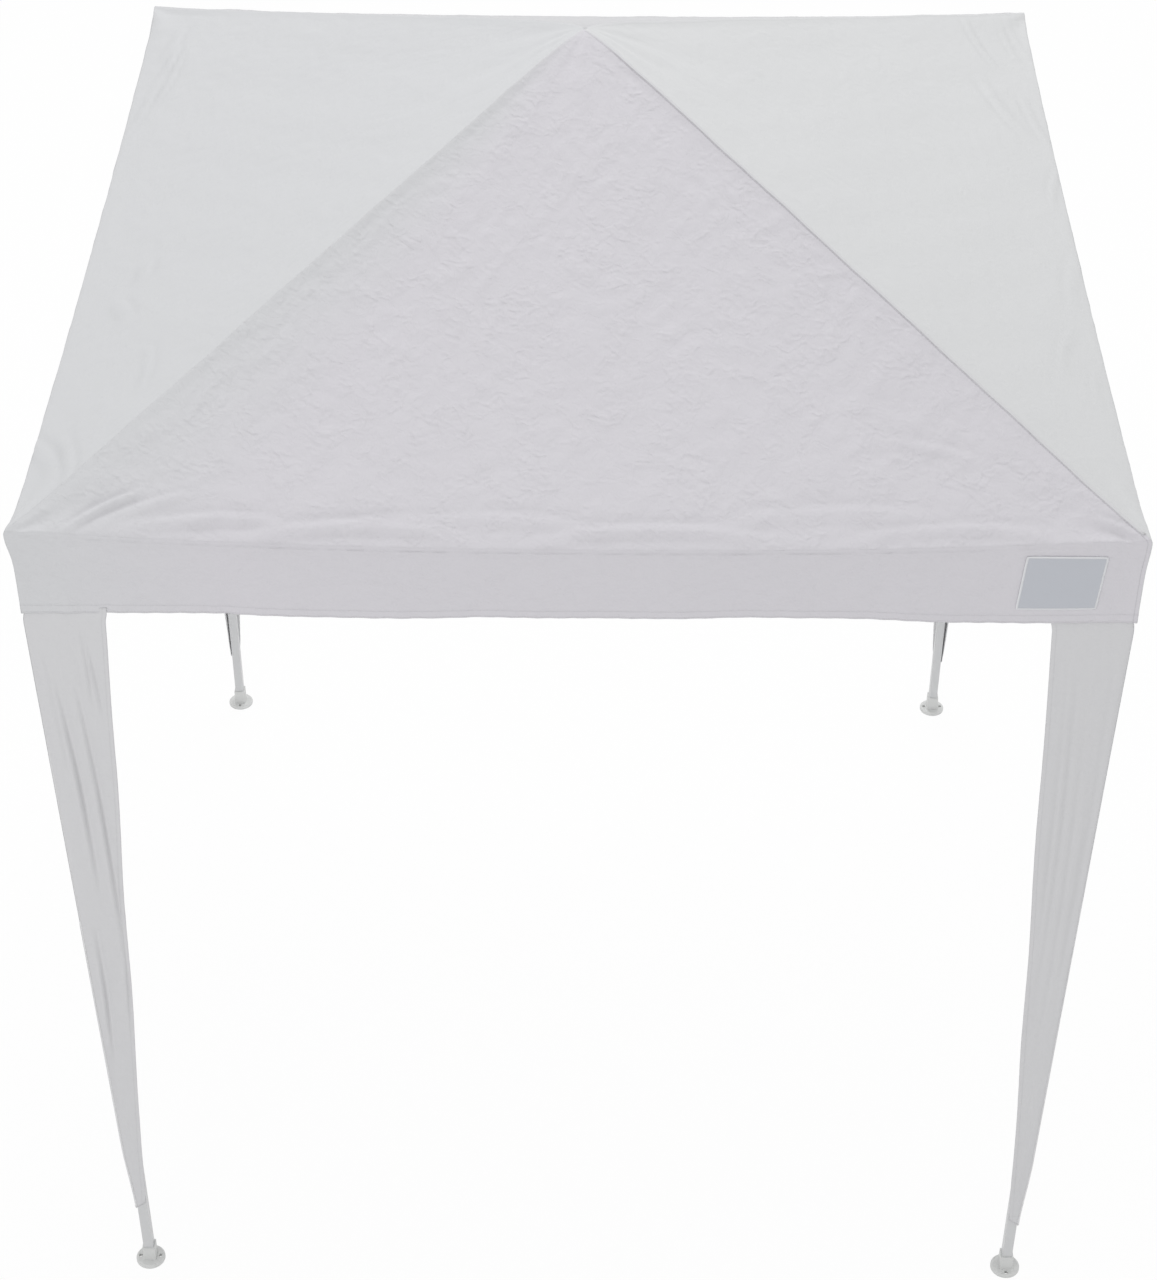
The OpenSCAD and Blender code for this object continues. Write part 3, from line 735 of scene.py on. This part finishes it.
def cloth_finish(
    name, colour, crepe=1.0, hem_rows=(0.019, 0.004), painted_left_hip_tone=None, hip_thread=0.40, valance_calm=1.0
):
    """Coated polyester: a fine plain weave, short curved crepe wrinkles in patches, small crushed creases,
    faint cloudiness, and stitched hems and seams. Painted into the colour are a faint highlight on the
    weave's raised threads, shade in the wrinkles' valleys and shade in the troughs that the crease value
    marks. A colour for the left hip, if given, is one that the cloth turns to near that hip: painted light
    that stands in for the soft change of light across the rounded hip."""
    finish = Finish(name, colour, 0.72, sheen=0.10, specular=0.28)
    uv = finish.place("UV")
    split = finish.node("ShaderNodeSeparateXYZ", {"Vector": uv})
    across, up = split.outputs[0], split.outputs[1]
    hip = finish.node("ShaderNodeAttribute", attribute_name="hip").outputs["Fac"]
    trough = finish.node("ShaderNodeAttribute", attribute_name="crease").outputs["Fac"]
    crushed = finish.noise(uv, 30, 5, 0.6, 1.6)
    patches = crepe_patches(finish, uv, up, valance_calm)
    slanted = finish.waves(uv, 20.0, "DIAGONAL", 9.0, detail=2.0, detail_scale=1.4)
    crossed = finish.waves(uv, 14.0, "Y", 12.0, detail=2.0, detail_scale=1.8)
    wrinkles = finish.times(finish.math("ADD", slanted, finish.times(crossed, 0.8)), patches)
    weave = finish.times(finish.waves(uv, 160.0, "X", 0.4), finish.waves(uv, 160.0, "Y", 0.4))
    finish.bump(crushed, 0.0024 * crepe, 0.5)
    finish.bump(wrinkles, 0.00075 * crepe, 0.5)
    finish.bump(weave, 0.00025, 0.5)
    # Painted light: near the left hip the colour turns to the left panel's tone.
    if painted_left_hip_tone is not None:
        finish.tint(painted_left_hip_fade(finish, across, hip), painted_left_hip_tone)
    finish.shade(finish.times(finish.noise(uv, 3.2, 3, 0.55), 0.08), 0.88)
    # Painted shade: the colour darkened in the wrinkles' valleys.
    painted_valley_shade = finish.times(finish.less(1.0, wrinkles), 0.030 * crepe, patches)
    finish.shade(finish.math("MAXIMUM", painted_valley_shade, 0.0), 0.55)
    # Painted highlight: the colour lightened on the weave's raised threads.
    finish.shade(finish.times(weave, 0.04), 1.1)
    rows = finish.times(stitches(finish, hip, up, 0.008), hip_thread)
    if painted_left_hip_tone is not None:
        rows = finish.times(rows, finish.math("GREATER_THAN", across, 0.0))
    for at in hem_rows:
        rows = finish.math("MAXIMUM", rows, finish.times(stitches(finish, up, across, at), 0.55))
    finish.shade(finish.times(rows, 0.45), 0.62)
    finish.bump(rows, 0.0005, 0.8)
    puckers = finish.noise(finish.place("UV", (1, 0.15, 1)), 120, 2, 0.5)
    finish.bump(finish.times(puckers, finish.math("LESS_THAN", up, HEM_BAND)), 0.0010, 0.6)
    # Painted shade: the colour darkened in the troughs that the crease value marks.
    finish.shade(finish.times(trough, 0.42), 0.62)
    return finish.done(finish.math("ADD", finish.times(crushed, 0.14), 0.64))


def patch_finish():
    """A bare woven label: satin threads with an overlocked border."""
    finish = Finish("patch_weave", linear(196, 199, 206), 0.55, sheen=0.1, specular=0.35)
    uv = finish.place("UV")
    finish.bump(finish.waves(uv, 240.0, "DIAGONAL", 0.3), 0.0003, 0.6)
    finish.shade(finish.times(finish.noise(uv, 60, 3, 0.6), 0.12), 0.85)
    split = finish.node("ShaderNodeSeparateXYZ", {"Vector": uv})
    in_x = finish.less(PATCH_HALF_W, finish.math("ABSOLUTE", split.outputs[0]))
    in_y = finish.less(PATCH_HALF_H, finish.math("ABSOLUTE", split.outputs[1]))
    edge = finish.math("MINIMUM", in_x, in_y)
    finish.tint(finish.math("LESS_THAN", edge, 0.0042), linear(232, 233, 236))
    along = finish.math("ADD", split.outputs[0], split.outputs[1])
    rows = stitches(finish, edge, along, 0.0035, pitch=0.0036, thread=0.0008)
    finish.shade(finish.times(rows, 0.25), 0.8)
    finish.bump(rows, 0.0006, 0.8)
    return finish.done()


def coated_tube(name, colour):
    """Powder coat on steel tube: a fine orange peel, slight cloudiness and rubbed streaks, lighter in colour:
    part wear, part painted sheen.
    """
    finish = Finish(name, colour, 0.38, specular=0.5)
    where = finish.place()
    finish.bump(finish.noise(where, 900, 2, 0.5), 0.0002, 0.35)
    finish.bump(finish.noise(where, 140, 2, 0.5), 0.0003, 0.25)
    finish.shade(finish.times(finish.noise(where, 6, 3, 0.5), 0.16), 0.82)
    rubbed_sheen_streak = finish.noise(finish.place("Object", (60, 60, 2.5)), 2.0, 4, 0.6)
    # Lighter rubbed streaks: part wear, part painted sheen.
    finish.shade(finish.times(finish.math("GREATER_THAN", rubbed_sheen_streak, 0.66), 0.10), 1.12)
    return finish.done(finish.math("ADD", finish.times(rubbed_sheen_streak, 0.16), 0.30))


def moulded_plastic(name, colour):
    """Moulded nylon: a spark-eroded grain, soft mottling and slightly scuffed gloss."""
    finish = Finish(name, colour, 0.5, specular=0.42)
    where = finish.place()
    grain = finish.node("ShaderNodeTexVoronoi", {"Vector": where, "Scale": 1400.0}).outputs[0]
    finish.bump(grain, 0.00015, 0.5)
    finish.bump(finish.noise(where, 260, 3, 0.6), 0.0003, 0.35)
    finish.shade(finish.times(finish.noise(where, 34, 4, 0.6), 0.14), 0.80)
    return finish.done(finish.math("ADD", finish.times(finish.noise(where, 70, 3, 0.6), 0.22), 0.40))


def plated_steel(name, colour):
    """Zinc plated steel: turning marks and faint spangle."""
    finish = Finish(name, colour, 0.34, metallic=1.0)
    marks = finish.noise(finish.place("Object", (40, 40, 900)), 3.0, 2, 0.5)
    finish.bump(marks, 0.0001, 0.4)
    finish.shade(finish.times(finish.noise(finish.place(), 180, 2, 0.5), 0.2), 0.75)
    return finish.done(finish.math("ADD", finish.times(marks, 0.2), 0.26))


# ---------------------------------------------------------------- stage


def set_camera():
    """The camera, high in front of the canopy and looking down on its roof."""
    yaw, pitch, roll = (math.radians(turn) for turn in CAMERA_TURN)
    ahead = np.array([math.sin(yaw) * math.cos(pitch), math.cos(yaw) * math.cos(pitch), -math.sin(pitch)])
    right = np.array([math.cos(yaw), -math.sin(yaw), 0.0])
    down = np.cross(ahead, right)
    turned_right = math.cos(roll) * right + math.sin(roll) * down
    turned_down = math.cos(roll) * down - math.sin(roll) * right
    data = bpy.data.cameras.new("camera")
    data.sensor_width = SENSOR
    data.lens = LENS
    camera = bpy.data.objects.new("camera", data)
    matrix = np.eye(4)
    matrix[:3, 0], matrix[:3, 1], matrix[:3, 2] = turned_right, -turned_down, -ahead
    matrix[:3, 3] = CAMERA_AT
    camera.matrix_world = matrix.T.tolist()
    bpy.context.scene.collection.objects.link(camera)
    bpy.context.scene.camera = camera


def area_lamp(name, place, target, size, power):
    """A soft rectangular lamp that faces a target and that the camera doesn't see."""
    data = bpy.data.lights.new(name, "AREA")
    data.shape, data.size, data.size_y, data.energy = "RECTANGLE", size[0], size[1], power
    lamp = bpy.data.objects.new(name, data)
    lamp.location = place
    back = np.asarray(place, float) - np.asarray(target, float)
    lamp.rotation_mode = "QUATERNION"
    lamp.rotation_quaternion = Vector(back).to_track_quat("Z", "Y")
    lamp.visible_camera = False
    bpy.context.scene.collection.objects.link(lamp)


def white_to_camera(tree, shader_output, share=1.0):
    """A mix that leaves its second shader, plain white, to the camera and to glossy and clear rays, and gives
    the other shader to all other rays."""
    nodes, links = tree.nodes, tree.links
    path = nodes.new("ShaderNodeLightPath")

    def joined(operation, first):
        node = nodes.new("ShaderNodeMath")
        node.operation = operation
        links.new(first, node.inputs[0])
        return node

    seen = joined("MAXIMUM", path.outputs["Is Camera Ray"])
    links.new(path.outputs["Is Glossy Ray"], seen.inputs[1])
    also = joined("MAXIMUM", seen.outputs[0])
    links.new(path.outputs["Is Transmission Ray"], also.inputs[1])
    amount = joined("MULTIPLY", also.outputs[0])
    amount.inputs[1].default_value = share
    mix = nodes.new("ShaderNodeMixShader")
    links.new(amount.outputs[0], mix.inputs[0])
    links.new(shader_output, mix.inputs[1])
    return mix


def set_world(level):
    """Even light from all round, seen as plain white."""
    world = bpy.data.worlds.new("world")
    bpy.context.scene.world = world
    world.use_nodes = True
    tree = world.node_tree
    light = tree.nodes["Background"]
    light.inputs["Color"].default_value = (1, 1, 1, 1)
    light.inputs["Strength"].default_value = level
    white = tree.nodes.new("ShaderNodeBackground")
    white.inputs["Color"].default_value = (1, 1, 1, 1)
    white.inputs["Strength"].default_value = 1.0
    mix = white_to_camera(tree, light.outputs[0])
    tree.links.new(white.outputs[0], mix.inputs[2])
    tree.links.new(mix.outputs[0], tree.nodes["World Output"].inputs["Surface"])


def set_floor():
    """A wide white floor that keeps a faint shadow."""
    corners = np.array([[-1, -1, 0], [1, -1, 0], [1, 1, 0], [-1, 1, 0]])
    points = FLOOR_HALF * corners - [0, 0, 0.0005]
    floor = mesh_piece("floor", points, np.array([[0, 1, 2, 3]]), smooth=False)
    material = bpy.data.materials.new("floor_paper")
    material.use_nodes = True
    tree = material.node_tree
    shader = tree.nodes["Principled BSDF"]
    shader.inputs["Base Color"].default_value = (FLOOR_TONE, FLOOR_TONE, FLOOR_TONE, 1)
    shader.inputs["Roughness"].default_value = 1.0
    shader.inputs["Specular IOR Level"].default_value = 0.0
    glow = tree.nodes.new("ShaderNodeEmission")
    glow.inputs["Strength"].default_value = 1.0
    mix = white_to_camera(tree, shader.outputs[0], share=FLOOR_WHITE)
    tree.links.new(glow.outputs[0], mix.inputs[2])
    tree.links.new(mix.outputs[0], tree.nodes["Material Output"].inputs["Surface"])
    floor.data.materials.append(material)


# ---------------------------------------------------------------- the object

bpy.context.scene.view_settings.view_transform = "Standard"
set_camera()
set_world(WORLD_LEVEL)
set_floor()
area_lamp("sky", (0.2, 3.6, 7.2), (0, 0, 1.9), (3.0, 3.0), 135)
area_lamp("front", (-2.3, -5.7, 4.4), (0, 0, 1.3), (2.2, 2.2), 43)

# The left panel's tone, a little darker than the right panel's of the same cloth: painted light. The front
# panel fades to it near its left hip, a painted change of light across that rounded hip.
LEFT_PAINTED_TONE = linear(214, 215, 217)
# The front panel is the same cloth as the sides in a slightly darker lilac tone: the front slope's light
# painted in.
FRONT_CLOTH_PAINTED_LIGHT = cloth_finish(
    "roof_cloth_front_painted_light", linear(217, 215, 220), 1.85, painted_left_hip_tone=LEFT_PAINTED_TONE, hip_thread=1.0, valance_calm=0.3
)
LEFT_CLOTH = cloth_finish("roof_cloth_left_painted_light", LEFT_PAINTED_TONE, 0.5, hip_thread=0.2, valance_calm=0.5)
SIDE_CLOTH = cloth_finish("roof_cloth_side", linear(218, 219, 220), 0.5, valance_calm=0.5)
SKIRT_CLOTH = cloth_finish("skirt_cloth", linear(216, 216, 218), 0.6, hem_rows=(0.020,))
# The back panel is the same cloth in a darker tone: painted shade on the back slope.
BACK_CLOTH_PAINTED_SHADE = cloth_finish("roof_cloth_back_painted_shade", linear(205, 205, 207), 0.5, valance_calm=0.5)
# The cloth's inner face in a much lighter tone than its outside: painted light that lifts the shade under the
# roof and inside the skirts.
BACKING_PAINTED_LIGHT = cloth_finish("cloth_backing_painted_light", linear(240, 240, 241), 0.4, hem_rows=(), hip_thread=0.1)
SEAM_CLOTH = cloth_finish("seam_cloth", linear(217, 217, 219), 0.3, hem_rows=())
PATCH = patch_finish()
TUBE = coated_tube("coated_tube", linear(212, 213, 215))
INNER_TUBE = coated_tube("inner_tube", linear(212, 213, 214))
FITTING = moulded_plastic("fitting_nylon", linear(210, 211, 212))
FOOT = moulded_plastic("foot_nylon", linear(219, 220, 219))
BUTTON = plated_steel("plated_button", linear(200, 200, 204))

ROOF_CLOTHS = {"front": FRONT_CLOTH_PAINTED_LIGHT, "right": SIDE_CLOTH, "back": BACK_CLOTH_PAINTED_SHADE, "left": LEFT_CLOTH}
NODE_FINISHES = {
    "_bar": TUBE,
    "outer_leg": TUBE,
    "peak_pole": TUBE,
    "inner_leg": INNER_TUBE,
    "foot": FOOT,
    "button": BUTTON,
}

for name, node in frame["nodes"].items():
    finish = next((made for end, made in NODE_FINISHES.items() if name.endswith(end)), FITTING)
    for slot in node.material_slots:
        slot.material = finish
    if not node.material_slots:
        node.data.materials.append(finish)

for quarter, side in enumerate(SIDES):
    panel = cover_panel(quarter)
    panel.data.materials.append(ROOF_CLOTHS[side])
    panel.data.materials.append(BACKING_PAINTED_LIGHT)
    fold_in(panel, side)
    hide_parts(f"{side}_cover_panel")
    seam = hip_seam(quarter)
    seam.data.materials.append(SEAM_CLOTH)
    fold_in(seam, side)
    if side == "front":
        patch = label_patch()
        patch.data.materials.append(PATCH)
        fold_in(patch, side)

for number, leg in enumerate(LEGS):
    skirt = leg_skirt(number)
    skirt.data.materials.append(SKIRT_CLOTH)
    skirt.data.materials.append(BACKING_PAINTED_LIGHT)
    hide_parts(f"{leg}_leg_skirt")
    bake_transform(skirt)
    for part in pull_pin(number):
        part.data.materials.append(BUTTON)
        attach(part, f"{leg}_slider")
